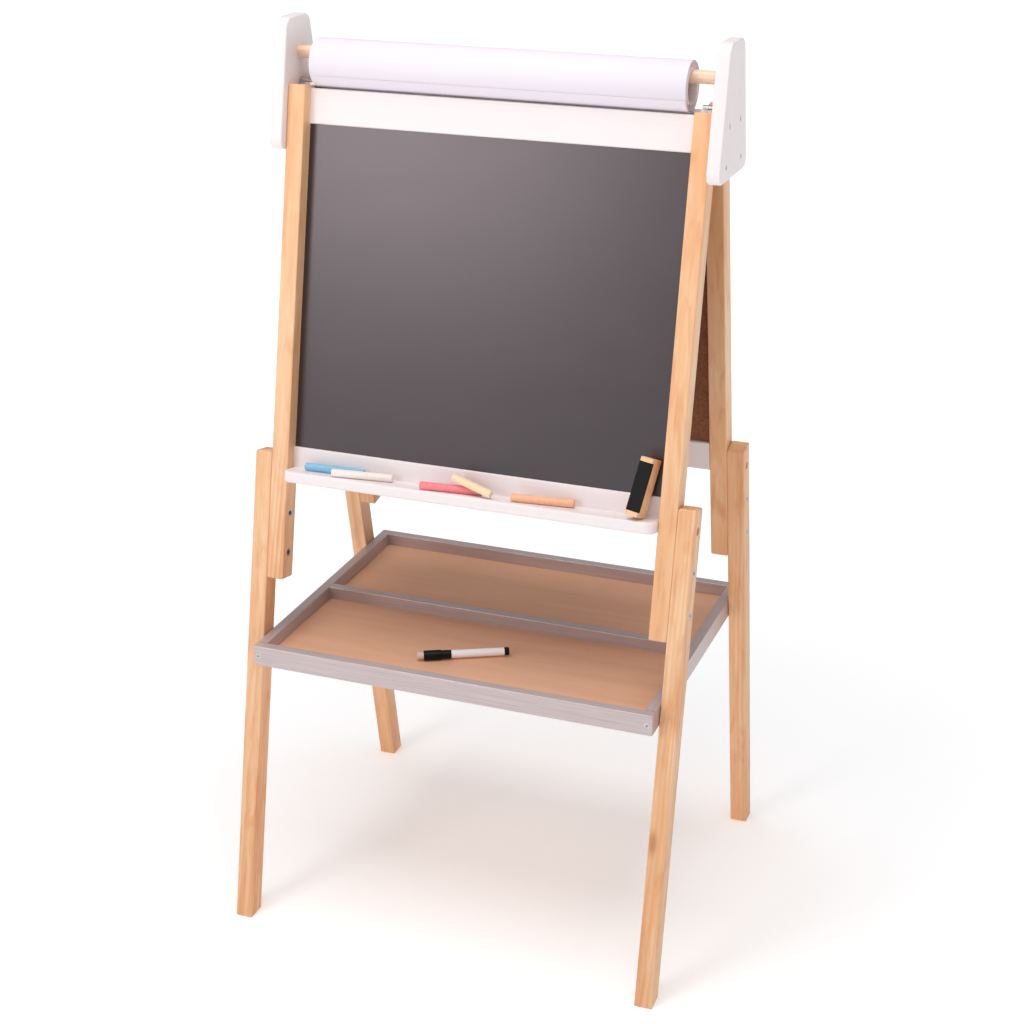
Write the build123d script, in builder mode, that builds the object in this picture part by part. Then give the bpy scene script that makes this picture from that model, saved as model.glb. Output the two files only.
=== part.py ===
from build123d import *
import os
from math import atan2, cos, degrees, radians, sin, sqrt

# Children's double-sided easel: two hinged frames, a tray between the legs and a paper roll.
# Millimetres, +Z up, origin on the floor under the middle of the easel, front frame towards -Y.

os.makedirs("parts", exist_ok=True)

# ---- stance and frames -------------------------------------------------------------------------
leg_span = 560.0          # over the outer faces of the lower legs
top_gap = 14.4            # between the two frames at the tops of the stiles
lean = 11.3               # degrees from vertical
stock_width = 22.0        # legs and stiles, along X
stock_depth = 27.0        # legs and stiles, front to back
leg_length = 612.0
stile_foot = 453.0        # lower end of a stile, measured up the leg
stile_length = 600.0
edge_radius = 1.5         # eased edges of legs, stiles and rails
end_radius = 2.5          # tops of the legs and lower ends of the stiles

rail_depth = 11.0         # the rails are flush with the back of the stiles
top_rail_height = 41.5
top_rail_drop = 3.0       # below the tops of the stiles
bottom_rail_height = 39.0
rail_rise = 127.0         # underside of the bottom rail above the lower ends of the stiles
board_thickness = 4.0
board_setback = 3.0       # face of the board behind the face of the rails
groove_depth = 5.0
groove_clearance = 0.15
ledge_thickness = 14.0
ledge_reach = 17.0        # in front of the stiles
ledge_corner = 12.0
ledge_radius = 3.0
end_clearance = 0.1       # rails and ledge between the stiles

# ---- leg bolts and their sleeve nuts -----------------------------------------------------------
bolt_pitch = 50.0
first_bolt = 33.0         # above the lower end of the stile
bolt_diameter = 6.0
bolt_hole = 6.4
bolt_head = 10.0
bolt_head_height = 3.0
sleeve_diameter = 8.0
sleeve_length = 15.0
socket_width = 4.0
socket_depth = 2.0
seat_clearance = 0.2      # heads, nuts and pins in their seats
flush_drop = 0.3          # heads below the face of the wood
thread_clearance = 0.05

# ---- wooden pins and wood screws in the frames -------------------------------------------------
pin_diameter = 5.0
pin_length = 24.0
pin_spacing = 20.0
screw_diameter = 3.5
screw_head = 7.0
screw_head_height = 2.4
cross_width = 0.9         # cross recess of the screws
cross_length = 4.0
cross_depth = 1.4
ledge_screw_length = 27.0
ledge_screw_spacing = 180.0

# ---- hinges ------------------------------------------------------------------------------------
hinge_rise = 3.7          # pin above the back corners of the stile tops
hinge_width = 20.0
knuckle_diameter = 7.0
hinge_pin_diameter = 3.0
running_clearance = 0.05
leaf_thickness = 1.5
leaf_height = 36.0
knuckle_gap = 0.4
web_gap = 0.35            # between the leaf's web and the pin hole
hinge_screw_diameter = 2.5
hinge_screw_head = 4.6
hinge_screw_head_height = 1.0
hinge_screw_length = 14.0
hinge_screw_spacing = 18.0
hinge_screw_drop = 9.0    # upper screw below the top of the stile

# ---- side plates, dowel and paper --------------------------------------------------------------
plate_thickness = 16.0
plate_height = 150.0
plate_lap = 74.0          # base of the plates below the hinge axis
plate_base_width = 121.0
plate_top_width = 59.0
plate_top_radius = 15.0
plate_base_radius = 12.0
plate_edge_radius = 2.0
plate_gap = 0.3           # between a side plate and the stiles
plate_screw_length = 32.0
plate_screw_top = 12.5    # upper screw below the top of the stile
plate_screw_pitch = 45.0
slot_clearance = 0.6      # round the plate screws in the rear stiles
dowel_diameter = 15.0
dowel_rise = 34.0         # above the hinge axis
dowel_bore_depth = 10.0
dowel_clearance = 0.06
dowel_end_clearance = 0.6
core_bore = 38.0
core_wall = 2.0
paper_diameter = 58.0
paper_margin = 15.0       # paper narrower than the gap between the stiles
paper_offset = -4.5
paper_clearance = 0.05
hang_clearance = 0.3      # between the dowel and the top of the core

# ---- tray --------------------------------------------------------------------------------------
tray_overhang = 42.23     # beyond the pivot pins, at the front and the rear
tray_gap = 0.5            # each side, between the tray and the legs
tray_base = 344.4
tray_rail_height = 26.5
tray_rail_thickness = 13.0
tray_rail_radius = 1.5
tray_floor_thickness = 3.0
tray_floor_rise = 7.0     # floor above the underside of the rails
tray_groove_depth = 4.0
tray_groove_clearance = 0.1
tray_screw_length = 40.0
divider_screw_length = 16.0
divider_screw_spacing = 170.0
pivot_diameter = 4.0
pivot_grip = 16.0         # length of the pivot pin in the leg
pivot_seat = 9.0          # and in the tray's side rail
pivot_clearance = 0.08

# ---- loose things ------------------------------------------------------------------------------
rest_gap = 0.3            # between a loose thing and what it lies on
chalk_diameter = 9.5
chalk_chamfer = 0.8
eraser_width = 16.0
eraser_length = 69.0
eraser_depth = 22.0
eraser_lip = 5.4          # wood beyond each end of the felt
eraser_edge = 0.8
felt_thickness = 5.0
eraser_stand = 16.6       # foot of the eraser from the right stile
eraser_lean = 9.0         # degrees, sideways towards the right stile
eraser_tilt = 10.5        # degrees, back towards the board
eraser_turn = 14.0        # degrees, about its own length
marker_cap_diameter = 12.5
marker_cap_length = 22.0
marker_collar_diameter = 11.0
marker_collar_length = 12.0
marker_barrel_diameter = 10.0
marker_barrel_length = 66.0
marker_neck_diameter = 7.0
marker_neck_length = 16.0
marker_nib_diameter = 3.0
marker_nib_length = 7.0
marker_nib_seat = 4.0
marker_cap_clearance = 0.3
marker_end_diameter = 9.0
marker_end_length = 8.0
marker_plug_length = 6.0
marker_chamfer = 0.8
marker_turn = 27.5        # degrees from the long side of the tray
marker_x = -64.5
marker_y = -132.0

# ---- worked out from the sizes above -----------------------------------------------------------
lean_sin = sin(radians(lean))
lean_cos = cos(radians(lean))
fold_angle = 2 * lean
leg_outer = leg_span / 2
leg_middle = leg_outer - stock_width / 2
stile_outer = leg_outer - stock_width
stile_inner = stile_outer - stock_width
stile_middle = (stile_inner + stile_outer) / 2
stock_middle = stock_depth / 2
stile_top = stile_foot + stile_length
half_stance = stile_top * lean_sin + stock_depth * lean_cos + top_gap / 2
rail_front = stock_depth - rail_depth
rail_middle = rail_front + rail_depth / 2
rail_end = stile_inner - end_clearance
top_rail_middle = stile_top - top_rail_drop - top_rail_height / 2
board_top = top_rail_middle - top_rail_height / 2
board_bottom = stile_foot + rail_rise + bottom_rail_height
board_height = board_top - board_bottom
board_middle = (board_bottom + board_top) / 2
board_front = rail_front + board_setback
bottom_rail_middle = board_bottom - bottom_rail_height / 2
ledge_bottom = board_bottom - bottom_rail_height
ledge_top = ledge_bottom + ledge_thickness
bolt_rows = [stile_foot + first_bolt, stile_foot + first_bolt + bolt_pitch]
leg_hole_rows = bolt_rows + [bolt_rows[-1] + bolt_pitch]
plate_screw_rows = [stile_top - plate_screw_top, stile_top - plate_screw_top - plate_screw_pitch]
hinge_screw_rows = [stile_top - hinge_screw_drop, stile_top - hinge_screw_drop - hinge_screw_spacing]
ledge_screw_row = (ledge_bottom + ledge_top) / 2
ledge_screw_spots = [(x, ledge_screw_row) for x in (-ledge_screw_spacing, 0, ledge_screw_spacing)]
head_seat = bolt_head_height + flush_drop
screw_bore = screw_diameter / 2 + thread_clearance
pin_bore = pin_diameter / 2 + thread_clearance
pin_bore_depth = (pin_length + seat_clearance) / 2
plate_inner = stile_outer + plate_gap
plate_grip = plate_screw_length - plate_thickness - plate_gap
paper_width = 2 * stile_inner - paper_margin
tray_outer = stile_outer - tray_gap
tray_inner = tray_outer - tray_rail_thickness
tray_rail_middle = (tray_inner + tray_outer) / 2
tray_top = tray_base + tray_rail_height
tray_middle_z = tray_base + tray_rail_height / 2
tray_floor_z = tray_base + tray_floor_rise
tray_floor_top = tray_floor_z + tray_floor_thickness
pivot_z = (tray_floor_top + tray_top) / 2

# A face plane lies on the front of a frame: X across, Y up the leg, Z out towards the viewer.
face_planes = {
    "front": Plane(origin=(0, -half_stance, 0), x_dir=(1, 0, 0), z_dir=(0, -lean_cos, lean_sin)),
    "rear": Plane(origin=(0, half_stance, 0), x_dir=(-1, 0, 0), z_dir=(0, lean_cos, lean_sin)),
}
ends = {"front": -1, "rear": 1}
sides = {"left": -1, "right": 1}
face_middle = (Align.CENTER, Align.CENTER, Align.MAX)


def on_frame(end, along, depth):
    """Y and Z of a point up a frame's leg and in from its face."""
    y = half_stance - along * lean_sin - depth * lean_cos
    return ends[end] * y, along * lean_cos - depth * lean_sin


# The hinge axis stands in the middle, just above the stile tops.
hinge_z = on_frame("front", stile_top, stock_depth)[1] + hinge_rise
hinge_along = half_stance * lean_sin + hinge_z * lean_cos
hinge_depth = half_stance * lean_cos - hinge_z * lean_sin
plate_base = hinge_z - plate_lap
dowel_height = hinge_z + dowel_rise
roll_height = dowel_height + dowel_diameter / 2 + hang_clearance - core_bore / 2
# The tray's pivot pins lie on the middle line of the legs, above the tray's floor.
pivot_along = (pivot_z + stock_middle * lean_sin) / lean_cos
pivot_y = on_frame("rear", pivot_along, stock_middle)[0]
tray_end = pivot_y + tray_overhang
tray_end_inner = tray_end - tray_rail_thickness


def cross_plane(end, x, facing, depth=stock_middle):
    """Plane across a frame member at X: its X runs up the leg, its Z along X to one side."""
    y, z = on_frame(end, 0, depth)
    return Plane(origin=(x, y, z), x_dir=face_planes[end].y_dir, z_dir=(facing, 0, 0))


def back_plane(end, depth=stock_depth):
    """Plane on the back of a frame, with its Y up the leg."""
    face = face_planes[end]
    return Plane(origin=face.offset(-depth).origin, x_dir=-face.x_dir, z_dir=-face.z_dir)


def shelf_plane(end, along):
    """Plane square to a frame: X across it, Y in from its face, Z up the leg."""
    face = face_planes[end]
    origin = (0, *on_frame(end, along, 0))
    return Plane(origin=origin, x_dir=face.x_dir, z_dir=face.y_dir)


def spots(plane, *points):
    """Places on a plane, for holes and repeated pieces."""
    return Locations(*[plane.location * Location((x, y, 0)) for x, y in points])


def rows_on(plane, rows):
    return spots(plane, *[(row, 0) for row in rows])


def pin_rows(*middles):
    """Heights of the rail pins above and below the middles of the rails."""
    return [middle + side * pin_spacing / 2 for middle in middles for side in (-1, 1)]


def save(part, name):
    """Label a finished piece and write it to its own file."""
    part.label = name
    export_step(part, f"parts/{name}.step")


def countersunk_screw(diameter, length, head, head_height):
    """Adds a cross-head screw at the current places, head flush with the plane."""
    Cone(diameter / 2, head / 2, head_height, align=face_middle)
    Cylinder(diameter / 2, length, align=face_middle)
    Box(cross_length, cross_width, cross_depth, align=face_middle, mode=Mode.SUBTRACT)
    Box(cross_width, cross_length, cross_depth, align=face_middle, mode=Mode.SUBTRACT)


def countersunk_hole(diameter, depth, head, head_height):
    """Cuts the seat of a countersunk screw at the current places."""
    radius = diameter / 2 + thread_clearance
    Cone(radius, head / 2 + thread_clearance, head_height, align=face_middle, mode=Mode.SUBTRACT)
    Cylinder(radius, depth, align=face_middle, mode=Mode.SUBTRACT)


def ease_end(stick, end, top):
    """Rounds the edges of the square end of a leg or stile."""
    square_ends = stick.faces().filter_by(Plane((0, 0, 0), z_dir=face_planes[end].y_dir))
    fillet(square_ends.sort_by(Axis.Z)[-1 if top else 0].edges(), end_radius)


# ---- legs and stiles ---------------------------------------------------------------------------
def swing_slot(screw_y, screw_z):
    """Outline of the path of a plate screw through a stile that swings about the hinge."""
    reach = sqrt(screw_y**2 + (screw_z - hinge_z) ** 2)
    start = degrees(atan2(screw_z - hinge_z, screw_y))
    finish = start + fold_angle
    half_width = screw_diameter / 2 + slot_clearance
    finish_y = reach * cos(radians(finish))
    finish_z = hinge_z + reach * sin(radians(finish))
    with BuildSketch(mode=Mode.PRIVATE) as slot:
        with BuildLine():
            CenterArc((0, hinge_z), reach + half_width, start, fold_angle)
            CenterArc((finish_y, finish_z), half_width, finish, 180)
            CenterArc((0, hinge_z), reach - half_width, start, fold_angle)
            CenterArc((screw_y, screw_z), half_width, start, -180)
        make_face()
    add(slot.sketch)


def make_stile(end, side):
    face = face_planes[end]
    sign = sides[side]
    local_sign = sign * face.x_dir.X
    groove_width = groove_depth + groove_clearance
    with BuildPart() as stile:
        with BuildSketch(face):
            with Locations((local_sign * stile_middle, stile_foot + stile_length / 2)):
                Rectangle(stock_width, stile_length)
        extrude(amount=-stock_depth)
        fillet(stile.edges().filter_by(Axis((0, 0, 0), face.y_dir)), edge_radius)
        ease_end(stile, end, top=False)
        top_face = stile.faces().filter_by(Plane((0, 0, 0), z_dir=face.y_dir)).sort_by(Axis.Z)[-1]
        fillet(top_face.edges(), edge_radius)
        # groove for the edge of the board
        with BuildSketch(face.offset(-board_front + groove_clearance)):
            with Locations((local_sign * (stile_inner + groove_width / 2), board_middle)):
                Rectangle(groove_width, board_height + 2 * groove_width)
        extrude(amount=-board_thickness - 2 * groove_clearance, mode=Mode.SUBTRACT)
        # sleeve nuts go in from the inner face, and so do the pins of the rails
        with rows_on(cross_plane(end, sign * stile_inner, -sign), bolt_rows):
            Cylinder(bolt_head / 2 + seat_clearance, head_seat, align=face_middle, mode=Mode.SUBTRACT)
            Hole(sleeve_diameter / 2 + seat_clearance, depth=sleeve_length + head_seat)
            Hole(bolt_hole / 2)
        rows = pin_rows(bottom_rail_middle, top_rail_middle)
        with rows_on(cross_plane(end, sign * stile_inner, -sign, rail_middle), rows):
            Hole(pin_bore, depth=pin_bore_depth)
        hinge_spots = [(-local_sign * stile_middle, row) for row in hinge_screw_rows]
        with spots(back_plane(end), *hinge_spots):
            Hole(hinge_screw_diameter / 2 + thread_clearance, depth=hinge_screw_length)
        # screws of the side plate: holes in the front stile, slots in the stile that swings
        if end == "front":
            with rows_on(cross_plane(end, sign * stile_outer, sign), plate_screw_rows):
                Hole(screw_bore, depth=plate_grip + seat_clearance)
        else:
            with BuildSketch(Plane.YZ.offset(sign * stile_outer)):
                for row in plate_screw_rows:
                    swing_slot(*on_frame(end, row, stock_middle))
            extrude(amount=-sign * (plate_grip + seat_clearance), mode=Mode.SUBTRACT)
    save(stile.part, f"{end}_{side}_stile")


def make_leg(end, side):
    face = face_planes[end]
    sign = sides[side]
    local_sign = sign * face.x_dir.X
    with BuildPart() as leg:
        with BuildSketch(face):
            with Locations((local_sign * leg_middle, 0)):
                Rectangle(stock_width, 2 * leg_length)
        extrude(amount=-stock_depth)
        fillet(leg.edges().filter_by(Axis((0, 0, 0), face.y_dir)), edge_radius)
        ease_end(leg, end, top=True)
        # the foot is cut level with the floor
        split(bisect_by=Plane.XY, keep=Keep.TOP)
        with rows_on(cross_plane(end, sign * leg_outer, sign), leg_hole_rows):
            Cylinder(bolt_head / 2 + seat_clearance, head_seat, align=face_middle, mode=Mode.SUBTRACT)
            Hole(bolt_hole / 2)
        with rows_on(cross_plane(end, sign * stile_outer, -sign), [pivot_along]):
            Hole(pivot_diameter / 2 + thread_clearance, depth=pivot_grip + seat_clearance)
    save(leg.part, f"{end}_{side}_leg")


# ---- rails, boards and ledges ------------------------------------------------------------------
def make_rail(end, height, middle, groove_edge, name):
    """A rail between the stiles, with a groove for the board along its lower or upper edge."""
    face = face_planes[end]
    groove_width = groove_depth + groove_clearance
    with BuildPart() as rail:
        with BuildSketch(face.offset(-rail_front)):
            with Locations((0, middle)):
                Rectangle(2 * rail_end, height)
        extrude(amount=-rail_depth)
        fillet(rail.edges().filter_by(Axis.X), edge_radius)
        with BuildSketch(face.offset(-board_front + groove_clearance)):
            with Locations((0, middle + groove_edge * (height - groove_width) / 2)):
                Rectangle(2 * stile_inner, groove_width)
        extrude(amount=-board_thickness - 2 * groove_clearance, mode=Mode.SUBTRACT)
        for sign in sides.values():
            with rows_on(cross_plane(end, sign * rail_end, sign, rail_middle), pin_rows(middle)):
                Hole(pin_bore, depth=pin_bore_depth)
        if name == "bottom_rail":
            with spots(back_plane(end), *ledge_screw_spots):
                countersunk_hole(screw_diameter, rail_depth, screw_head, screw_head_height)
    save(rail.part, f"{end}_{name}")


def make_board(end, name):
    with BuildPart() as board:
        with BuildSketch(face_planes[end].offset(-board_front)):
            with Locations((0, board_middle)):
                Rectangle(2 * (stile_inner + groove_depth), board_height + 2 * groove_depth)
        extrude(amount=-board_thickness)
    save(board.part, name)


def make_ledge(end):
    with BuildPart() as ledge:
        with BuildSketch(shelf_plane(end, ledge_bottom)):
            with Locations((0, (rail_front - ledge_reach) / 2)):
                Rectangle(2 * rail_end, ledge_reach + rail_front)
        extrude(amount=ledge_thickness)
        front = face_planes[end].z_dir
        upright = ledge.edges().filter_by(Axis((0, 0, 0), face_planes[end].y_dir))
        fillet(upright.sort_by(Axis((0, 0, 0), front))[-2:], ledge_corner)
        outline = ledge.faces().filter_by(Plane((0, 0, 0), z_dir=face_planes[end].y_dir)).edges()
        fillet(outline.sort_by(Axis((0, 0, 0), front))[2:], ledge_radius)
        with spots(back_plane(end, rail_front), *ledge_screw_spots):
            Hole(screw_bore, depth=ledge_screw_length - rail_depth)
    save(ledge.part, f"{end}_ledge")


# ---- fasteners of a frame ----------------------------------------------------------------------
def make_leg_bolts(end):
    shank = 2 * (stock_width - head_seat) - socket_depth
    with BuildPart() as bolts:
        for sign in sides.values():
            head_plane = cross_plane(end, sign * (leg_outer - flush_drop), sign)
            with rows_on(head_plane, bolt_rows):
                Cylinder(bolt_head / 2, bolt_head_height, align=face_middle)
                Cylinder(bolt_diameter / 2, bolt_head_height + shank, align=face_middle)
            for row in bolt_rows:
                with BuildSketch(head_plane):
                    with Locations((row, 0)):
                        RegularPolygon(socket_width / 2, 6, major_radius=False)
                extrude(amount=-socket_depth, mode=Mode.SUBTRACT)
    save(bolts.part, f"{end}_leg_bolts")


def make_leg_nuts(end):
    with BuildPart() as nuts:
        for sign in sides.values():
            flange_plane = cross_plane(end, sign * (stile_inner + flush_drop), -sign)
            with rows_on(flange_plane, bolt_rows):
                Cylinder(bolt_head / 2, bolt_head_height, align=face_middle)
                Cylinder(sleeve_diameter / 2, bolt_head_height + sleeve_length, align=face_middle)
            with rows_on(flange_plane.offset(-bolt_head_height), bolt_rows):
                Hole(bolt_diameter / 2 + thread_clearance, depth=sleeve_length)
            for row in bolt_rows:
                with BuildSketch(flange_plane):
                    with Locations((row, 0)):
                        RegularPolygon(socket_width / 2, 6, major_radius=False)
                extrude(amount=-socket_depth, mode=Mode.SUBTRACT)
    save(nuts.part, f"{end}_leg_nuts")


def make_rail_pins(end):
    rows = pin_rows(bottom_rail_middle, top_rail_middle)
    with BuildPart() as pins:
        for sign in sides.values():
            with rows_on(cross_plane(end, sign * stile_inner, sign, rail_middle), rows):
                Cylinder(pin_diameter / 2, pin_length)
    save(pins.part, f"{end}_rail_pins")


def make_ledge_screws(end):
    with BuildPart() as screws:
        with spots(back_plane(end), *ledge_screw_spots):
            countersunk_screw(screw_diameter, ledge_screw_length, screw_head, screw_head_height)
    save(screws.part, f"{end}_ledge_screws")


for end in ends:
    for side in sides:
        make_stile(end, side)
        make_leg(end, side)
    make_rail(end, top_rail_height, top_rail_middle, -1, "top_rail")
    make_rail(end, bottom_rail_height, bottom_rail_middle, 1, "bottom_rail")
    make_ledge(end)
    make_leg_bolts(end)
    make_leg_nuts(end)
    make_rail_pins(end)
    make_ledge_screws(end)
make_board("front", "chalkboard")
make_board("rear", "whiteboard")


# ---- hinges ------------------------------------------------------------------------------------
knuckle_length = (hinge_width - 2 * knuckle_gap) / 3
knuckle_step = knuckle_length + knuckle_gap
knuckle_offsets = {"front": (-knuckle_step, knuckle_step), "rear": (0,)}
web_top = hinge_along - hinge_pin_diameter / 2 - running_clearance - web_gap


def make_hinge_leaf(end, side):
    face = face_planes[end]
    sign = sides[side]
    middle = sign * face.x_dir.X * stile_middle
    leaf_bottom = stile_top - leaf_height
    with BuildPart() as leaf:
        with BuildSketch(face.offset(-stock_depth)):
            with Locations((middle, (leaf_bottom + web_top) / 2)):
                Rectangle(hinge_width, web_top - leaf_bottom)
        extrude(amount=-leaf_thickness)
        for offset in knuckle_offsets[end]:
            with BuildSketch(face.offset(-stock_depth)):
                with Locations((middle + offset, web_top - leaf_thickness / 2)):
                    Rectangle(knuckle_length, leaf_thickness)
            extrude(amount=stock_depth - hinge_depth)
            with Locations(Plane(origin=(sign * stile_middle + offset, 0, hinge_z), z_dir=(1, 0, 0))):
                Cylinder(knuckle_diameter / 2, knuckle_length)
        with Locations(Plane(origin=(sign * stile_middle, 0, hinge_z), z_dir=(1, 0, 0))):
            Hole(hinge_pin_diameter / 2 + running_clearance)
        screw_spots = [(-middle, row) for row in hinge_screw_rows]
        with spots(back_plane(end, stock_depth + leaf_thickness), *screw_spots):
            countersunk_hole(
                hinge_screw_diameter, leaf_thickness, hinge_screw_head, hinge_screw_head_height
            )
    save(leaf.part, f"{side}_hinge_{end}_leaf")


def make_hinge_pin(side):
    with BuildPart() as pin:
        with Locations(Plane(origin=(sides[side] * stile_middle, 0, hinge_z), z_dir=(1, 0, 0))):
            Cylinder(hinge_pin_diameter / 2, hinge_width)
    save(pin.part, f"{side}_hinge_pin")


def make_hinge_screws(end):
    places = [(sign * stile_middle, row) for sign in sides.values() for row in hinge_screw_rows]
    with BuildPart() as screws:
        with spots(back_plane(end, stock_depth + leaf_thickness), *places):
            shank = hinge_screw_diameter / 2
            Cone(shank, hinge_screw_head / 2, hinge_screw_head_height, align=face_middle)
            Cylinder(shank, hinge_screw_length, align=face_middle)
    save(screws.part, f"{end}_hinge_screws")


for side in sides:
    make_hinge_leaf("front", side)
    make_hinge_leaf("rear", side)
    make_hinge_pin(side)
make_hinge_screws("front")
make_hinge_screws("rear")


# ---- side plates, dowel and paper roll ---------------------------------------------------------
plate_screw_places = [on_frame(end, row, stock_middle) for end in ends for row in plate_screw_rows]
plate_top = plate_base + plate_height


def plate_screw_seats(sign):
    """Places of the four screws on the outer face of a side plate."""
    outer = sign * (plate_inner + plate_thickness)
    plane = Plane(origin=(outer, 0, 0), x_dir=(0, 1, 0), z_dir=(sign, 0, 0))
    return spots(plane, *[(y, sign * z) for y, z in plate_screw_places])


def make_side_plate(side):
    sign = sides[side]
    with BuildPart() as plate:
        with BuildSketch(Plane.YZ.offset(sign * plate_inner)):
            with BuildLine():
                Polyline(
                    (-plate_base_width / 2, plate_base),
                    (plate_base_width / 2, plate_base),
                    (plate_top_width / 2, plate_top),
                    (-plate_top_width / 2, plate_top),
                    close=True,
                )
            make_face()
        extrude(amount=sign * plate_thickness)
        fillet(plate.edges().filter_by(Axis.X).sort_by(Axis.Z)[:2], plate_base_radius)
        fillet(plate.edges().filter_by(Axis.X).sort_by(Axis.Z)[-2:], plate_top_radius)
        fillet(plate.faces().filter_by(Axis.X).edges(), plate_edge_radius)
        with plate_screw_seats(sign):
            countersunk_hole(screw_diameter, plate_thickness, screw_head, screw_head_height)
        with Locations(Plane(origin=(sign * plate_inner, 0, dowel_height), z_dir=(-sign, 0, 0))):
            Hole(dowel_diameter / 2 + dowel_clearance, depth=dowel_bore_depth)
    save(plate.part, f"{side}_side_plate")


for side in sides:
    make_side_plate(side)

with BuildPart() as plate_screws:
    for sign in sides.values():
        with plate_screw_seats(sign):
            countersunk_screw(screw_diameter, plate_screw_length, screw_head, screw_head_height)
save(plate_screws.part, "plate_screws")

with BuildPart() as roll_dowel:
    with Locations(Plane(origin=(0, 0, dowel_height), z_dir=(1, 0, 0))):
        Cylinder(dowel_diameter / 2, 2 * (plate_inner + dowel_bore_depth - dowel_end_clearance))
    chamfer(roll_dowel.edges(), dowel_end_clearance)
save(roll_dowel.part, "roll_dowel")

roll_plane = Plane(origin=(paper_offset, 0, roll_height), z_dir=(1, 0, 0))
with BuildPart() as paper_core:
    with Locations(roll_plane):
        Cylinder(core_bore / 2 + core_wall, paper_width)
        Hole(core_bore / 2)
save(paper_core.part, "paper_core")

with BuildPart() as paper_roll:
    with Locations(roll_plane):
        Cylinder(paper_diameter / 2, paper_width)
        Hole(core_bore / 2 + core_wall + paper_clearance)
save(paper_roll.part, "paper_roll")


# ---- tray --------------------------------------------------------------------------------------
tray_groove_width = tray_groove_depth + tray_groove_clearance
pivot_places = {"front": -pivot_y, "rear": pivot_y}
tray_screw_spots = [(-tray_rail_middle, 0), (tray_rail_middle, 0)]
divider_screw_spots = [(x, 0) for x in (-divider_screw_spacing, 0, divider_screw_spacing)]
floor_underside = Plane(origin=(0, 0, tray_floor_z), z_dir=(0, 0, -1))


def side_spots(x, facing, height, places):
    """Places on an upright plane at X, each given by its Y."""
    plane = Plane(origin=(x, 0, height), x_dir=(0, 1, 0), z_dir=(facing, 0, 0))
    return spots(plane, *[(y, 0) for y in places])


def tray_end_plane(sign):
    """Outer face of the front or rear rail: X across, Y up."""
    return Plane(origin=(0, sign * tray_end, tray_middle_z), x_dir=(-sign, 0, 0), z_dir=(0, sign, 0))


def floor_groove():
    """Cuts the groove that holds the edge of the tray's floor."""
    with BuildSketch(Plane.XY.offset(tray_floor_z - tray_groove_clearance)) as groove:
        Rectangle(2 * (tray_inner + tray_groove_width), 2 * (tray_end_inner + tray_groove_width))
    extrude(groove.sketch, amount=tray_floor_thickness + 2 * tray_groove_clearance, mode=Mode.SUBTRACT)


for end, sign in ends.items():
    with BuildPart() as tray_end_rail:
        with BuildSketch(Plane.XY.offset(tray_base)):
            with Locations((0, sign * (tray_end - tray_rail_thickness / 2))):
                Rectangle(2 * tray_outer, tray_rail_thickness)
        extrude(amount=tray_rail_height)
        fillet(tray_end_rail.edges(), tray_rail_radius)
        floor_groove()
        with spots(tray_end_plane(sign), *tray_screw_spots):
            countersunk_hole(screw_diameter, tray_rail_thickness, screw_head, screw_head_height)
    save(tray_end_rail.part, f"tray_{end}_rail")

for side, sign in sides.items():
    with BuildPart() as tray_side_rail:
        with BuildSketch(Plane.XY.offset(tray_base)):
            with Locations((sign * tray_rail_middle, 0)):
                Rectangle(tray_rail_thickness, 2 * tray_end_inner)
        extrude(amount=tray_rail_height)
        fillet(tray_side_rail.edges().filter_by(Axis.Y), tray_rail_radius)
        floor_groove()
        for end_sign in ends.values():
            rail_back = tray_end_plane(end_sign).offset(-tray_rail_thickness)
            with spots(rail_back, (-sign * end_sign * tray_rail_middle, 0)):
                Hole(screw_bore, depth=tray_screw_length - tray_rail_thickness)
        with side_spots(sign * tray_outer, sign, pivot_z, pivot_places.values()):
            Hole(pivot_diameter / 2 + pivot_clearance, depth=pivot_seat + seat_clearance)
    save(tray_side_rail.part, f"tray_{side}_rail")

with BuildPart() as tray_floor:
    with BuildSketch(Plane.XY.offset(tray_floor_z)):
        Rectangle(2 * (tray_inner + tray_groove_depth), 2 * (tray_end_inner + tray_groove_depth))
    extrude(amount=tray_floor_thickness)
    with spots(floor_underside, *divider_screw_spots):
        countersunk_hole(screw_diameter, tray_floor_thickness, screw_head, screw_head_height)
save(tray_floor.part, "tray_floor")

with BuildPart() as tray_divider:
    with BuildSketch(Plane.XY.offset(tray_floor_top)):
        Rectangle(2 * tray_inner, tray_rail_thickness)
    extrude(amount=tray_top - tray_floor_top)
    fillet(tray_divider.edges().group_by(Axis.Z)[-1].filter_by(Axis.X), tray_rail_radius)
    with spots(floor_underside.offset(-tray_floor_thickness), *divider_screw_spots):
        Hole(screw_bore, depth=divider_screw_length - tray_floor_thickness + seat_clearance)
save(tray_divider.part, "tray_divider")

with BuildPart() as tray_screws:
    for sign in ends.values():
        with spots(tray_end_plane(sign), *tray_screw_spots):
            countersunk_screw(screw_diameter, tray_screw_length, screw_head, screw_head_height)
    with spots(floor_underside, *divider_screw_spots):
        countersunk_screw(screw_diameter, divider_screw_length, screw_head, screw_head_height)
save(tray_screws.part, "tray_screws")

# The front pins are the tray's pivots, fixed in the legs. The rear ones stop inside the side rails.
pin_reach = {"front": tray_gap + pivot_grip, "rear": 0}
for end, reach in pin_reach.items():
    with BuildPart() as pivot_pins:
        for sign in sides.values():
            with side_spots(sign * (tray_outer + reach), sign, pivot_z, [pivot_places[end]]):
                Cylinder(pivot_diameter / 2, pivot_seat + reach, align=face_middle)
    save(pivot_pins.part, f"tray_{end}_pivot_pins")


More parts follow.
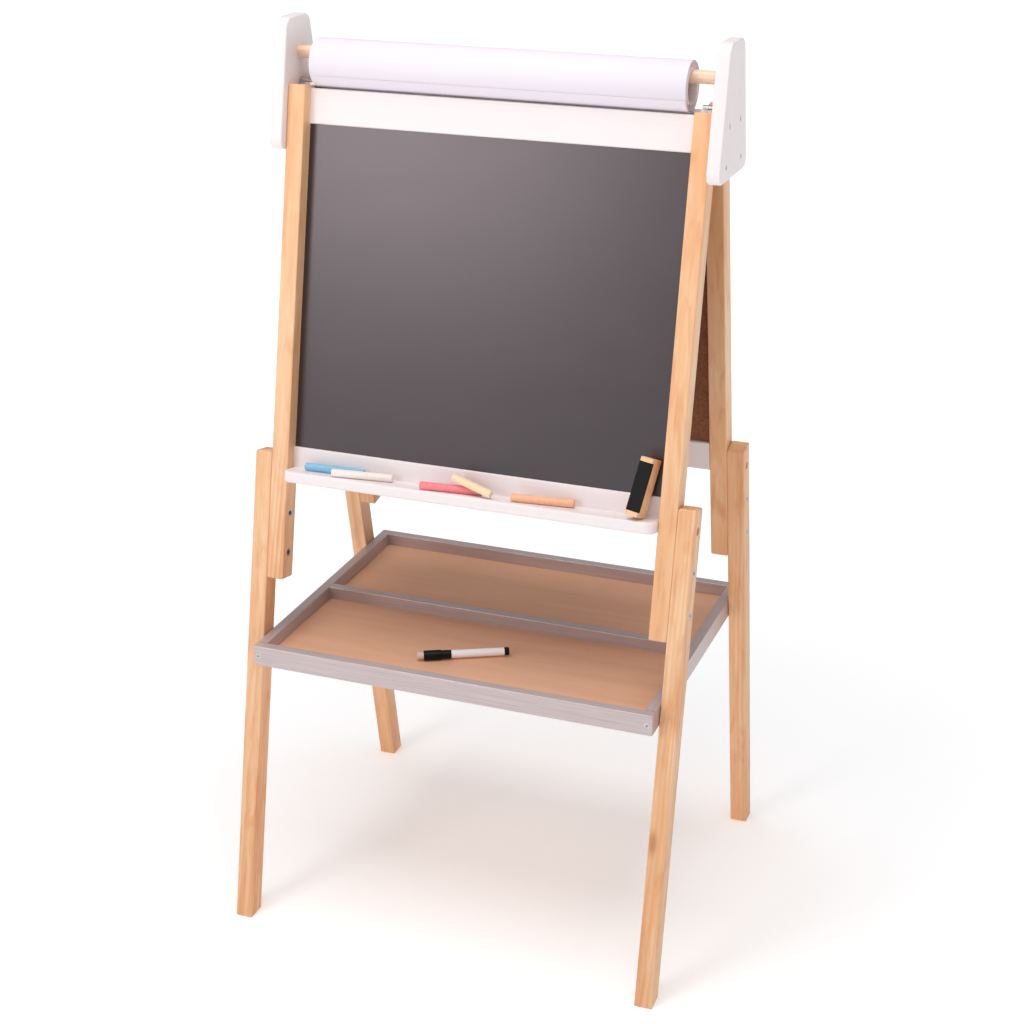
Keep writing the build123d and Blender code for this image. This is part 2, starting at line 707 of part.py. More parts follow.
# ---- chalks on the ledge -----------------------------------------------------------------------
# Place of the left end: across the frame, in from its face and above the resting height; then
# the turn in the plane of the ledge and the rise, in degrees, and the length.
chalks = {
    "blue_chalk": (-214.0, 3.0, 0.0, 5.0, 0.0, 77.0),
    "white_chalk": (-172.0, -11.5, 0.0, 11.5, 0.0, 77.0),
    "pink_chalk": (-56.5, -11.5, 0.0, 9.5, 0.0, 77.0),
    "yellow_chalk": (-18.0, -3.6, 14.3, -8.6, -14.2, 56.0),
    "orange_chalk": (57.0, -6.0, 0.0, 9.5, 0.0, 77.0),
}
chalk_rest = ledge_top + chalk_diameter / 2 + rest_gap
for name, (x, depth, lift, turn, rise, length) in chalks.items():
    bed = shelf_plane("front", chalk_rest + lift)
    start = bed.from_local_coords(Vector(x, depth, 0))
    toward = bed.from_local_coords(
        Vector(
            x + cos(radians(turn)) * cos(radians(rise)),
            depth + sin(radians(turn)) * cos(radians(rise)),
            sin(radians(rise)),
        )
    )
    with BuildPart() as chalk:
        with BuildSketch(Plane(origin=start, z_dir=toward - start)):
            Circle(chalk_diameter / 2)
        extrude(amount=length)
        chamfer(chalk.edges().filter_by(GeomType.CIRCLE), chalk_chamfer)
    save(chalk.part, name)


# ---- board eraser, leaning on the board and towards the right stile ----------------------------
turned = Location((0, 0, 0), (0, 0, -eraser_lean)) * Location((0, 0, 0), (-eraser_tilt, 0, 0))
turned *= Location((0, 0, 0), (0, -eraser_turn, 0))
corners = [
    (turned * Location((x, y, z))).position
    for x in (-eraser_width, 0)
    for y in (0, eraser_length)
    for z in (0, eraser_depth)
]
# its lowest corner stands on the ledge and its innermost one leans on the board
eraser_foot = (
    stile_inner - eraser_stand,
    ledge_top + rest_gap - min(corner.Y for corner in corners),
    rest_gap - board_front - min(corner.Z for corner in corners),
)
eraser_place = face_planes["front"].location * Location(eraser_foot) * turned
with BuildPart() as eraser_block:
    with Locations(eraser_place):
        Box(eraser_width, eraser_length, eraser_depth, align=(Align.MAX, Align.MIN, Align.MIN))
    fillet(eraser_block.edges(), eraser_edge)
felt_place = eraser_place * Location((-eraser_width / 2, eraser_length / 2, eraser_depth))
with BuildPart() as eraser_felt:
    with Locations(felt_place):
        Box(eraser_width, eraser_length - 2 * eraser_lip, felt_thickness, align=face_middle)
with eraser_block:
    add(eraser_felt.part, mode=Mode.SUBTRACT)
save(eraser_block.part, "eraser_block")
save(eraser_felt.part, "eraser_felt")


# ---- marker in the tray ------------------------------------------------------------------------
marker_direction = Vector(cos(radians(marker_turn)), sin(radians(marker_turn)), 0)
marker_height = tray_floor_top + marker_cap_diameter / 2 + rest_gap
marker_plane = Plane(origin=(marker_x, marker_y, marker_height), z_dir=marker_direction)
marker_axis = Axis(marker_plane.origin, marker_direction)
cap_start = marker_end_length
barrel_start = cap_start + marker_cap_length + marker_collar_length
plug_start = barrel_start + marker_barrel_length
neck_start = barrel_start - marker_neck_length
cap_bore = marker_neck_diameter / 2 + marker_cap_clearance


def round_bar(start, diameter, length, mode=Mode.ADD):
    """A cylinder on the marker's axis, starting at a distance from its white end."""
    with BuildSketch(marker_plane.offset(start)) as disc:
        Circle(diameter / 2)
    extrude(disc.sketch, amount=length, mode=mode)


with BuildPart() as marker_end:
    round_bar(0, marker_end_diameter, marker_end_length)
    chamfer(marker_end.faces().sort_by(marker_axis)[0].edges(), marker_chamfer)
save(marker_end.part, "marker_end")

with BuildPart() as marker_cap:
    round_bar(cap_start, marker_cap_diameter, marker_cap_length)
    chamfer(marker_cap.edges().filter_by(GeomType.CIRCLE), marker_chamfer)
    round_bar(cap_start + marker_cap_length, marker_collar_diameter, marker_collar_length)
    nib_room = marker_neck_length + marker_nib_length
    round_bar(barrel_start - nib_room, 2 * cap_bore, nib_room, Mode.SUBTRACT)
save(marker_cap.part, "marker_cap")

with BuildPart() as marker_barrel:
    round_bar(barrel_start, marker_barrel_diameter, marker_barrel_length)
    round_bar(neck_start, marker_neck_diameter, marker_neck_length)
    round_bar(neck_start, marker_nib_diameter + 2 * thread_clearance, marker_nib_seat, Mode.SUBTRACT)
save(marker_barrel.part, "marker_barrel")

with BuildPart() as marker_nib:
    round_bar(neck_start + marker_nib_seat - marker_nib_length, marker_nib_diameter, marker_nib_length)
save(marker_nib.part, "marker_nib")

with BuildPart() as marker_plug:
    round_bar(plug_start, marker_barrel_diameter, marker_plug_length)
    chamfer(marker_plug.faces().sort_by(marker_axis)[-1].edges(), marker_chamfer)
save(marker_plug.part, "marker_plug")
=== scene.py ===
import bpy
from math import cos, pi, radians, sin
from mathutils import Matrix, Vector


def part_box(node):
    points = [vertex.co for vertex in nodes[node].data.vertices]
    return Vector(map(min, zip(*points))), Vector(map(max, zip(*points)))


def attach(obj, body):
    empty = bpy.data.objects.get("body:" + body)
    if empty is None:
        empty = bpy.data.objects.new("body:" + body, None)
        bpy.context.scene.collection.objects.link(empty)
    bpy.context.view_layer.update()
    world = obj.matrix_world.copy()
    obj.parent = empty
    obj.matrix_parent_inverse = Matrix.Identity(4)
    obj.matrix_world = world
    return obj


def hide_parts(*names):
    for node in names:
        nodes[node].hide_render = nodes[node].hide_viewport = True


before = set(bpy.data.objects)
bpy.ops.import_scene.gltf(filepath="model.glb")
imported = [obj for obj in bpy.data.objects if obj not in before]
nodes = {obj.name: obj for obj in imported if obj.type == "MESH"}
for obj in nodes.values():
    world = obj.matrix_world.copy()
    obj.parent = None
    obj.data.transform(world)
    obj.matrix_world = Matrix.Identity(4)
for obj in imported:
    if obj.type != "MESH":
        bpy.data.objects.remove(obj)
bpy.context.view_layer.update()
bpy.ops.object.select_all(action="DESELECT")
print("frame loaded:", len(nodes), "nodes")


# shader helpers
class Wire:
    # a shader socket that can be used in sums
    def __init__(self, socket):
        self.socket = socket

    def maths(self, operation, first, second):
        node = self.socket.id_data.nodes.new("ShaderNodeMath")
        node.operation = operation
        for place, value in enumerate((first, second)):
            if isinstance(value, Wire):
                self.socket.id_data.links.new(value.socket, node.inputs[place])
            else:
                node.inputs[place].default_value = value
        return Wire(node.outputs[0])

    def __add__(self, other):
        return self.maths("ADD", self, other)

    def __radd__(self, other):
        return self.maths("ADD", other, self)

    def __sub__(self, other):
        return self.maths("SUBTRACT", self, other)

    def __rsub__(self, other):
        return self.maths("SUBTRACT", other, self)

    def __mul__(self, other):
        return self.maths("MULTIPLY", self, other)

    def __rmul__(self, other):
        return self.maths("MULTIPLY", other, self)

    def __truediv__(self, other):
        return self.maths("DIVIDE", self, other)

    def __pow__(self, other):
        return self.maths("POWER", self, other)


class Finish:
    # one node material
    def __init__(self, name):
        self.material = bpy.data.materials.new(name)
        self.material.use_nodes = True
        self.tree = self.material.node_tree
        self.tree.nodes.clear()

    def connect(self, value, socket):
        if isinstance(value, Wire):
            self.tree.links.new(value.socket, socket)
        else:
            socket.default_value = value

    def node(self, kind, settings, values, out=0):
        # settings first, then socket values or wires by name or number
        made = self.tree.nodes.new(kind)
        for key, value in settings.items():
            setattr(made, key, value)
        for key, value in values.items():
            self.connect(value, made.inputs[key])
        return Wire(made.outputs[out])

    def spot(self, turn=(0, 0, 0), shift=(0, 0, 0)):
        # a place on the piece, turned and then shifted
        here = self.node("ShaderNodeTexCoord", {}, {}, "Object")
        return self.node("ShaderNodeMapping", {}, {"Vector": here, "Rotation": turn, "Location": shift})

    def stretch(self, spot, amount):
        return self.node("ShaderNodeVectorMath", {"operation": "MULTIPLY"}, {0: spot, 1: amount})

    def split(self, spot):
        made = self.tree.nodes.new("ShaderNodeSeparateXYZ")
        self.connect(spot, made.inputs[0])
        return [Wire(end) for end in made.outputs]

    def noise(self, spot, scale, detail=3, rough=0.5, warp=0.0):
        values = {"Vector": spot, "Scale": scale, "Detail": detail, "Roughness": rough, "Distortion": warp}
        return self.node("ShaderNodeTexNoise", {}, values)

    def fit(self, value, low, high, least=0.0, most=1.0):
        values = {"Value": value, "From Min": low, "From Max": high, "To Min": least, "To Max": most}
        return self.node("ShaderNodeMapRange", {"interpolation_type": "SMOOTHSTEP"}, values)

    def mix(self, share, first, second):
        colours = [value if isinstance(value, Wire) else (*value, 1) for value in (first, second)]
        values = {0: share, 6: colours[0], 7: colours[1]}
        return self.node("ShaderNodeMix", {"data_type": "RGBA"}, values, 2)

    def bump(self, height, distance, strength=1.0):
        values = {"Height": height, "Distance": distance, "Strength": strength}
        return self.node("ShaderNodeBump", {}, values)

    def finish(self, colour, rough, normal=None, **others):
        base = colour if isinstance(colour, Wire) else (*colour, 1)
        values = {"Base Color": base, "Roughness": rough, **others}
        if normal is not None:
            values["Normal"] = normal
        shader = self.node("ShaderNodeBsdfPrincipled", {}, values)
        end = self.tree.nodes.new("ShaderNodeOutputMaterial")
        self.connect(shader, end.inputs["Surface"])
        return self.material


def paint(name, material):
    nodes[name].data.materials.clear()
    nodes[name].data.materials.append(material)


def tone(red, green, blue):
    # a colour as it looks on screen, as the linear one the shader wants
    return tuple(((value / 255 + 0.055) / 1.055) ** 2.4 for value in (red, green, blue))


# wood
lean = radians(11.3)

pine = {
    "pale": tone(244, 202, 160),
    "middle": tone(232, 168, 115),
    "warm": tone(216, 136, 82),
    "late": tone(206, 132, 84),
    "ringWidth": 0.0062,
    "gloss": 0.44,
}


def pineWood(name, turn, pith, shift, warmth=0.5, knots=(), options=pine):
    f = Finish(name)
    spot = f.spot(turn, shift)
    drift = f.noise(f.stretch(spot, (11, 11, 1.1)), 1.0, 3, 0.55)
    wave = f.noise(f.stretch(spot, (55, 55, 3.5)), 1.0, 4, 0.6)
    across, through, along = f.split(spot)
    sideways = across - pith[0] + (drift - 0.5) * 0.055
    inward = through - pith[1] + (wave - 0.5) * 0.010
    fromPith = (sideways * sideways + inward * inward) ** 0.5 + along * 0.010
    ring = (fromPith / options["ringWidth"]).maths("FRACT", fromPith / options["ringWidth"], 0.0)
    late = f.fit(ring, 0.15, 0.86) * (1 - f.fit(ring, 0.88, 1.0))
    fibre = f.noise(f.stretch(spot, (900, 900, 11)), 1.0, 3, 0.65)
    cloud = f.noise(f.stretch(spot, (26, 26, 4.2)), 1.0, 4, 0.6, 0.6)
    blotch = f.noise(f.stretch(spot, (70, 70, 12)), 1.0, 4, 0.62, 0.8)
    colour = f.mix(f.fit(cloud, 0.34, 0.66) * (0.45 + 0.4 * warmth), options["pale"], options["middle"])
    colour = f.mix(f.fit(blotch, 0.44, 0.72) * (0.25 + 0.45 * warmth), colour, options["warm"])
    colour = f.mix(late * f.fit(drift, 0.4, 0.66) * 0.5, colour, options["late"])
    colour = f.mix(f.fit(fibre, 0.35, 0.8) * 0.18, colour, tone(206, 146, 98))
    for place, size in knots:
        off = f.node("ShaderNodeVectorMath", {"operation": "SUBTRACT"}, {0: spot, 1: place})
        off = f.stretch(off, (1, 1, 0.35))
        near = f.node("ShaderNodeVectorMath", {"operation": "LENGTH"}, {0: off}, "Value")
        near = near + (blotch - 0.5) * size
        colour = f.mix(f.fit(near, size * 0.3, size * 1.6, 0.62, 0.0), colour, tone(178, 104, 62))
    rough = options["gloss"] + 0.12 * (fibre - 0.5) + 0.05 * late
    return f.finish(colour, rough, f.bump(fibre + 0.6 * late, 0.00010, 0.5))


# rear or not, pith beside the stick, place along the tree, warmth, and knots with their size
sticks = {
    "front_left_stile": (0, (0.045, -0.03), 0.30, 0.35, ()),
    "front_right_stile": (0, (-0.03, 0.05), 1.10, 0.55, (((0.004, -0.012, 1.10 - 0.40), 0.006),)),
    "front_left_leg": (0, (0.03, 0.03), 2.30, 0.75, ()),
    "front_right_leg": (0, (0.05, -0.02), 3.90, 0.55, (((-0.006, -0.012, 3.90 - 0.10), 0.005),)),
    "rear_left_stile": (1, (0.04, 0.03), 5.10, 0.7, ()),
    "rear_right_stile": (1, (-0.035, 0.04), 6.70, 0.7, ()),
    "rear_left_leg": (1, (0.02, 0.05), 7.30, 0.7, (((0.0, 0.010, 7.30 + 0.05), 0.005),)),
    "rear_right_leg": (1, (0.05, -0.04), 8.90, 0.6, ()),
}
for name, (rear, pith, along, warmth, knots) in sticks.items():
    middle = (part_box(name)[0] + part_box(name)[1]) / 2
    turn = -lean if rear else lean
    home = Matrix.Rotation(turn, 3, "X") @ Vector(middle)
    shift = (-home[0], -home[1], along - home[2])
    paint(name, pineWood(name + "_pine", (turn, 0, 0), pith, shift, warmth, knots))
dowelPine = dict(pine, pale=tone(247, 220, 196), middle=tone(240, 200, 168), warm=tone(232, 184, 146))
lying = (0, radians(90), 0)
dowelWood = pineWood("dowel_pine", lying, (0.03, 0.02), (0.5, 0.7, 0.3), 0.2, (), dowelPine)
paint("roll_dowel", dowelWood)
for name in ("front_rail_pins", "rear_rail_pins"):
    paint(name, pineWood(name + "_beech", lying, (0.02, 0.03), (0.1, 0.2, 0.9), 0.2))
print("pine done")


# white paint
def backOfBoard(f, node, out, soft=0.0006):
    # 0 on the face of the board, 1 on its back
    face = max(vertex.co.dot(out) for vertex in nodes[node].data.vertices)
    here = f.node("ShaderNodeTexCoord", {}, {}, "Object")
    depth = f.node("ShaderNodeVectorMath", {"operation": "DOT_PRODUCT"}, {0: here, 1: tuple(out)}, "Value")
    return f.fit(depth, face - soft, face - 0.6 * soft, 1.0, 0.0)


def whitePaint(name, stretch, paintedShadeNode=None):
    f = Finish(name)
    spot = f.spot()
    skin = f.noise(f.stretch(spot, stretch), 1.0, 3, 0.55)
    peel = f.noise(spot, 700, 2, 0.5)
    shade = f.mix(f.fit(skin, 0.3, 0.75) * 0.35, tone(240, 231, 231), tone(232, 222, 222))
    # painted shade: on the named rail, everything more than about 1 to 1.6 cm in front of its rearmost
    # face is tinted a darker brownish grey, so its inner side looks shaded
    if paintedShadeNode:
        shade = f.mix(backOfBoard(f, paintedShadeNode, rearFacing, 0.016), shade, tone(186, 158, 148))
    return f.finish(shade, 0.36 + 0.12 * peel, f.bump(skin * 0.7 + peel * 0.3, 0.0001, 0.5))


rearFacing = Vector((0, cos(lean), sin(lean)))
frontFacing = Vector((0, -cos(lean), sin(lean)))
whiteAlong = whitePaint("white_paint_rails", (4, 350, 350))
whitePlate = whitePaint("white_paint_plates", (60, 60, 60))
for end in ("front", "rear"):
    for name in ("top_rail", "bottom_rail", "ledge"):
        paint(end + "_" + name, whiteAlong)
for name in ("left_side_plate", "right_side_plate"):
    paint(name, whitePlate)
# the rear bottom rail gets painted shade on its inner, front-facing side
paint("rear_bottom_rail", whitePaint("white_paint_painted_shade", (4, 350, 350), "rear_bottom_rail"))


# boards
def brownBoard(f):
    spot = f.spot()
    flecks = f.noise(spot, 260, 4, 0.65)
    broad = f.noise(spot, 14, 3, 0.5)
    brown = f.mix(f.fit(flecks, 0.3, 0.7), tone(104, 54, 22), tone(142, 84, 44))
    return f.mix(f.fit(broad, 0.3, 0.7) * 0.3, brown, tone(122, 70, 34)), flecks


f = Finish("chalkboard")
back = backOfBoard(f, "chalkboard", frontFacing)
brown, flecks = brownBoard(f)
spot = f.spot()
tooth = f.noise(spot, 1500, 2, 0.6)
wiped = f.noise(f.stretch(spot, (7, 7, 16)), 1.0, 4, 0.6, 0.4)
slate = f.mix(f.fit(wiped, 0.35, 0.8) * 0.5, tone(36, 29, 32), tone(46, 38, 41))
slate = f.mix(f.fit(tooth, 0.45, 0.8) * 0.3, slate, tone(54, 46, 49))
rough = 0.31 + 0.08 * (tooth - 0.5) + 0.05 * (wiped - 0.5) + back * 0.3
sheen = {"Specular IOR Level": 1.0, "Specular Tint": (1.0, 0.90, 0.94, 1)}
shade = f.mix(back, slate, brown)
paint("chalkboard", f.finish(shade, rough, f.bump(tooth, 0.00005, 0.2), **sheen))

f = Finish("whiteboard")
back = backOfBoard(f, "whiteboard", rearFacing)
brown, flecks = brownBoard(f)
smear = f.noise(f.stretch(f.spot(), (6, 6, 14)), 1.0, 4, 0.6, 0.5)
gloss = f.mix(f.fit(smear, 0.45, 0.8) * 0.4, tone(244, 244, 245), tone(230, 231, 236))
rough = 0.09 + 0.08 * smear + back * 0.5
paint("whiteboard", f.finish(f.mix(back, gloss, brown), rough, f.bump(flecks * back, 0.0001, 0.4)))
print("boards done")


# tray
def greyPaint(name, stretch):
    f = Finish(name)
    spot = f.spot()
    grain = f.noise(f.stretch(spot, stretch), 1.0, 4, 0.6)
    lines = f.noise(f.stretch(spot, [3 * value for value in stretch]), 1.0, 2, 0.5)
    shade = f.mix(f.fit(grain, 0.3, 0.72), tone(202, 188, 188), tone(188, 172, 172))
    shade = f.mix(f.fit(lines, 0.5, 0.8) * 0.4, shade, tone(166, 150, 149))
    relief = f.bump(grain * 0.6 + lines * 0.4, 0.00008, 0.4)
    return f.finish(shade, 0.28 + 0.1 * grain, relief, Metallic=0.3)


greyAcross = greyPaint("grey_paint_across", (9, 520, 520))
greyAlong = greyPaint("grey_paint_along", (520, 9, 520))
for name in ("tray_front_rail", "tray_rear_rail", "tray_divider"):
    paint(name, greyAcross)
for name in ("tray_left_rail", "tray_right_rail"):
    paint(name, greyAlong)

f = Finish("tray_hardboard")
spot = f.spot()
streaks = f.noise(f.stretch(spot, (4, 60, 40)), 1.0, 4, 0.6, 0.3)
flecks = f.noise(f.stretch(spot, (60, 600, 300)), 1.0, 3, 0.6)
broad = f.noise(f.stretch(spot, (3, 9, 4)), 1.0, 3, 0.5)
shade = f.mix(f.fit(streaks, 0.3, 0.72) * 0.6, tone(236, 184, 150), tone(225, 168, 133))
shade = f.mix(f.fit(flecks, 0.5, 0.85) * 0.25, shade, tone(202, 146, 112))
shade = f.mix(f.fit(broad, 0.35, 0.7) * 0.35, shade, tone(242, 192, 160))
paint("tray_floor", f.finish(shade, 0.5 + 0.1 * flecks, f.bump(flecks, 0.0001, 0.3)))
print("tray done")


# metal
f = Finish("zinc")
spot = f.spot()
cloud = f.noise(spot, 260, 3, 0.6)
scratch = f.noise(f.stretch(spot, (1800, 300, 1800)), 1.0, 2, 0.5)
shade = f.mix(f.fit(cloud, 0.3, 0.7), tone(212, 211, 210), tone(174, 174, 177))
zinc = f.finish(shade, 0.28 + 0.14 * cloud + 0.08 * scratch, f.bump(scratch, 0.00003, 0.4), Metallic=1.0)
for name in nodes:
    if name.split("_")[-1] in ("bolts", "nuts", "screws", "leaf", "pin") or name.endswith("pivot_pins"):
        paint(name, zinc)


# paper, chalk, felt and plastic
f = Finish("paper")
spot = f.spot()
tooth = f.noise(spot, 900, 3, 0.6)
leaves = f.noise(f.stretch(spot, (3, 160, 160)), 1.0, 2, 0.5)
shade = f.mix(f.fit(tooth, 0.3, 0.7) * 0.3, tone(234, 227, 236), tone(225, 217, 228))
paper = f.finish(shade, 0.62, f.bump(tooth * 0.5 + leaves * 0.5, 0.00008, 0.3))

f = Finish("card")
turns = f.noise(f.stretch(f.spot(), (120, 500, 500)), 1.0, 3, 0.6)
shade = f.mix(f.fit(turns, 0.3, 0.7), tone(232, 218, 214), tone(242, 232, 230))
paint("paper_core", f.finish(shade, 0.8, f.bump(turns, 0.0001, 0.5)))


def chalkStick(name, colour, pale):
    f = Finish(name)
    spot = f.spot()
    dust = f.noise(spot, 420, 4, 0.65)
    pores = f.noise(spot, 1600, 2, 0.6)
    shade = f.mix(f.fit(dust, 0.42, 0.72) * 0.6, colour, pale)
    return f.finish(shade, 0.85, f.bump(dust * 0.5 + pores * 0.5, 0.00015, 0.6))


f = Finish("felt")
pile = f.noise(f.spot(), 1400, 4, 0.7)
shade = f.mix(f.fit(pile, 0.4, 0.8), tone(10, 9, 10), tone(34, 31, 33))
felt = f.finish(shade, 0.95, f.bump(pile, 0.0005, 0.9))
eraserWood = pineWood("eraser_beech", (radians(-11), radians(12), 0), (0.03, 0.02), (0.4, 0.3, 0.2), 0.3)

plastics = {
    "marker_barrel": (252, 250, 252),
    "marker_end": (222, 202, 200),
    "marker_nib": (60, 60, 62),
    "marker_cap": (6, 5, 5),
    "marker_plug": (11, 10, 11),
}
for name, colour in plastics.items():
    f = Finish(name + "_plastic")
    wear = f.noise(f.spot(), 300, 3, 0.6)
    worn = [min(255, 1.05 * value + 4) for value in colour]
    shade = f.mix(f.fit(wear, 0.4, 0.8) * 0.3, tone(*colour), tone(*worn))
    paint(name, f.finish(shade, 0.42 + 0.1 * wear, None, **{"Specular IOR Level": 0.25}))
print("materials done")


# modelled pieces
chalk = {
    "radius": 0.0049,
    "endReach": 0.02,       # how far from the tip a vertex still belongs to that end
    "roughness": 0.00005,
    "segments": 40,
    "tones": {
        "blue_chalk": ((132, 192, 224), (180, 216, 238)),
        "white_chalk": ((244, 230, 224), (250, 242, 238)),
        "pink_chalk": ((244, 132, 140), (250, 166, 170)),
        "yellow_chalk": ((240, 216, 178), (246, 232, 206)),
        "orange_chalk": ((246, 184, 146), (251, 206, 178)),
    },
}
roll = {
    "segments": 96,
    "layers": 9,            # rings that show on each end
    "coreGap": 0.00015,
    "edgeEase": 0.0004,
    "edgeStart": -23,       # degrees below the front of the roll
    "edgeStep": -5,
    "edgeSteps": 14,
    "edgeStandOff": 0.0004,
    "sheet": 0.0002,
}
smoothAngle = radians(38)


def settle(name, body, nodeName, material):
    # the piece's place goes into its mesh, then it takes the place of its plain solid
    piece = bpy.context.object
    piece.name = name
    bpy.ops.object.transform_apply(location=True, rotation=True, scale=True)
    bpy.ops.object.shade_smooth_by_angle(angle=smoothAngle)
    piece.data.materials.clear()
    piece.data.materials.append(material)
    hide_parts(nodeName)
    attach(piece, body)
    bpy.ops.object.select_all(action="DESELECT")


def stickAxis(nodeName):
    # middle, direction and length of a straight round stick, from the two ends of its solid
    spots = [vertex.co for vertex in nodes[nodeName].data.vertices]
    middle = sum(spots, Vector()) / len(spots)
    tip = max(spots, key=lambda place: (place - middle).length)
    nearEnd = [place for place in spots if (place - tip).length < chalk["endReach"]]
    farEnd = [place for place in spots if (place - tip).length > (tip - middle).length * 1.5]
    span = sum(farEnd, Vector()) / len(farEnd) - sum(nearEnd, Vector()) / len(nearEnd)
    return middle, span.normalized(), span.length


def addModifier(kind, **settings):
    made = bpy.context.object.modifiers.new(kind.lower(), kind)
    for key, value in settings.items():
        setattr(made, key, value)
    bpy.ops.object.modifier_apply(modifier=made.name)


def turnedShape(name, start, profile, segments):
    # a round shape along X from (place, radius) pairs, each loop extruded from the one before
    bpy.ops.mesh.primitive_circle_add(vertices=segments, radius=profile[0][1], location=start,
                                      rotation=(0, pi / 2, 0))
    piece = bpy.context.object
    piece.name = name
    piece.location.x += profile[0][0]
    bpy.ops.object.transform_apply(location=True, rotation=True, scale=True)
    bpy.ops.object.mode_set(mode="EDIT")
    bpy.ops.mesh.select_all(action="SELECT")
    for (before, wide), (place, radius) in zip(profile, profile[1:]):
        bpy.ops.mesh.extrude_region_move(TRANSFORM_OT_translate={"value": (place - before, 0, 0)})
        centre = (start[0] + place, start[1], start[2])
        bpy.ops.transform.resize(value=(1, radius / wide, radius / wide), center_override=centre)
    return piece


def closeShape():
    bpy.ops.mesh.select_all(action="SELECT")
    bpy.ops.mesh.remove_doubles(threshold=0.000002)
    bpy.ops.mesh.normals_make_consistent(inside=False)
    bpy.ops.object.mode_set(mode="OBJECT")


def paperRoll():
    low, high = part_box("paper_roll")
    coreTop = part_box("paper_core")[1][2]
    middle = ((low[1] + high[1]) / 2, (low[2] + high[2]) / 2)
    length, outer = high[0] - low[0], (high[2] - low[2]) / 2
    inner = coreTop - middle[1] + roll["coreGap"]
    layers, ease = roll["layers"], roll["edgeEase"]
    leftEnd, rightEnd = [], []
    for i in range(layers + 1):
        radius = inner + (outer - roll["sheet"] - inner) * i / layers
        dip = 0.0 if i in (0, layers) else 0.00035 * (1 + sin(2.7 * i))
        leftEnd.append((dip, radius))
        rightEnd.append((length - 0.0012 * (1 + sin(1.9 * i)) * (0 < i < layers), radius))
    profile = leftEnd + [(ease, outer), (length - ease, outer)] + rightEnd[::-1] + [leftEnd[0]]
    turns = turnedShape("paper_roll_turns", (low[0], *middle), profile, roll["segments"])
    closeShape()
    bpy.ops.object.select_all(action="DESELECT")

    # the free edge of the outer sheet stands off the front of the roll and closes on it lower down
    path = []
    for i in range(roll["edgeSteps"]):
        angle = radians(roll["edgeStart"] + roll["edgeStep"] * i)
        radius = outer + max(roll["edgeStandOff"] * (1 - i / 6), -0.00012)
        path.append((middle[0] - radius * cos(angle), middle[1] + radius * sin(angle)))
    bpy.ops.mesh.primitive_plane_add(size=1, location=((low[0] + high[0]) / 2, *path[0]))
    bpy.ops.transform.resize(value=(length - 0.001, 0.0001, 1))
    bpy.ops.object.transform_apply(location=True, rotation=True, scale=True)
    sheet = bpy.context.object
    bpy.ops.object.mode_set(mode="EDIT")
    bpy.ops.mesh.select_all(action="SELECT")
    bpy.ops.mesh.delete(type="ONLY_FACE")
    bpy.ops.mesh.select_all(action="DESELECT")
    bpy.ops.object.mode_set(mode="OBJECT")
    front = min(vertex.co.y for vertex in sheet.data.vertices)
    for vertex in sheet.data.vertices:
        vertex.select = vertex.co.y < front + 1e-6
    for edge in sheet.data.edges:
        edge.select = all(sheet.data.vertices[i].select for i in edge.vertices)
    bpy.ops.object.mode_set(mode="EDIT")
    for (y0, z0), (y1, z1) in zip(path, path[1:]):
        bpy.ops.mesh.extrude_region_move(TRANSFORM_OT_translate={"value": (0, y1 - y0, z1 - z0)})
    bpy.ops.object.mode_set(mode="OBJECT")
    addModifier("SOLIDIFY", thickness=roll["sheet"], offset=0)
    turns.select_set(True)
    bpy.context.view_layer.objects.active = turns
    bpy.ops.object.join()
    settle("drawing_paper", "paper_roll", "paper_roll", paper)


paperRoll()
print("paper roll done")

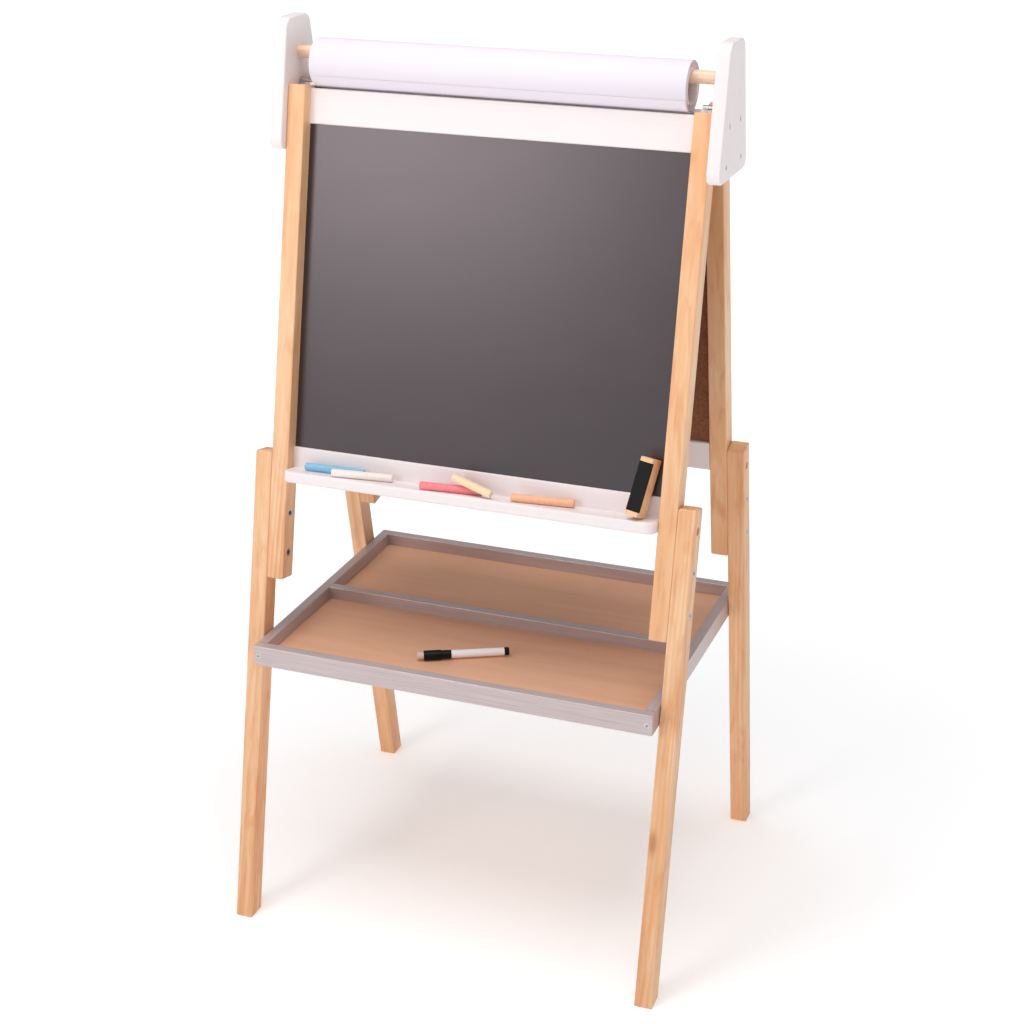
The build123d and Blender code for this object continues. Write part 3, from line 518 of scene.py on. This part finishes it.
for number, (name, colours) in enumerate(chalk["tones"].items()):
    middle, direction, length = stickAxis(name)
    radius = chalk["radius"]
    worn = [(0.0, 0.5), (0.0002, 0.72), (0.0006, 0.88), (0.0014, 0.97)]
    body = [(length * (0.05 + 0.9 * i / 12), 1 - 0.012 * (1 + sin(2.3 * i + number))) for i in range(13)]
    profile = worn + body + [(length - place, share * 0.99) for place, share in reversed(worn)]
    profile = [(place, radius * share) for place, share in profile]
    piece = turnedShape(name + "_stick", (-length / 2, 0, 0), profile, chalk["segments"])
    bpy.ops.mesh.select_all(action="SELECT")
    bpy.ops.mesh.fill_holes(sides=0)
    bpy.ops.mesh.select_all(action="SELECT")
    bpy.ops.transform.vertex_random(offset=chalk["roughness"], uniform=1.0, seed=number)
    closeShape()
    piece.rotation_mode = "QUATERNION"
    piece.rotation_quaternion = Vector((1, 0, 0)).rotation_difference(direction)
    piece.location = middle
    settle(name + "_stick", name, name, chalkStick(name, tone(*colours[0]), tone(*colours[1])))
paint("eraser_block", eraserWood)
paint("eraser_felt", felt)
print("chalk done")


# floor, light and camera
bpy.ops.mesh.primitive_circle_add(vertices=96, radius=45, fill_type="NGON", location=(0, 0, -0.0005))
floor = bpy.context.object
floor.name = "floor"
f = Finish("floor")
reach = f.node("ShaderNodeVectorMath", {"operation": "LENGTH"}, {0: f.spot()}, "Value")
glow = f.mix(f.fit(reach, 0.35, 2.6), (0.26, 0.265, 0.27), (0.72, 0.72, 0.72))
lit = {"Emission Color": glow, "Emission Strength": 1.0}
floor.data.materials.append(f.finish(tone(248, 250, 251), 0.9, None, **lit))

studio = {
    "world": 0.38,
    "key": {"place": (-1.5, -3.1, 1.75), "aim": (0, 0, 0.7), "size": 1.15, "power": 24.5,
            "colour": (1.0, 0.945, 0.955)},
    "overhead": {"place": (0.0, -0.6, 3.3), "aim": (0, 0, 0.6), "size": 2.2, "power": 54.0,
                 "colour": (1.0, 0.98, 0.98)},
}
world = bpy.data.worlds.new("studio")
bpy.context.scene.world = world
world.use_nodes = True
world.node_tree.nodes["Background"].inputs["Color"].default_value = (1, 1, 1, 1)
world.node_tree.nodes["Background"].inputs["Strength"].default_value = studio["world"]
for name in ("key", "overhead"):
    light = studio[name]
    bpy.ops.object.light_add(type="AREA", location=light["place"])
    lamp = bpy.context.object
    lamp.name = name
    lamp.data.size = light["size"]
    lamp.data.color = light["colour"]
    lamp.data.energy = light["power"]
    towards = Vector(light["aim"]) - Vector(light["place"])
    lamp.rotation_euler = towards.to_track_quat("-Z", "Y").to_euler()

view = {"place": (0.79777, -2.07896, 1.43837), "down": 0.3945, "round": 0.3620, "lens": 67.75, "far": 200}
bpy.ops.object.camera_add(location=view["place"], rotation=(pi / 2 - view["down"], 0, view["round"]))
camera = bpy.context.object
camera.data.lens = view["lens"]
camera.data.clip_end = view["far"]
bpy.context.scene.camera = camera
bpy.context.scene.view_settings.view_transform = "Standard"
print("stage done")
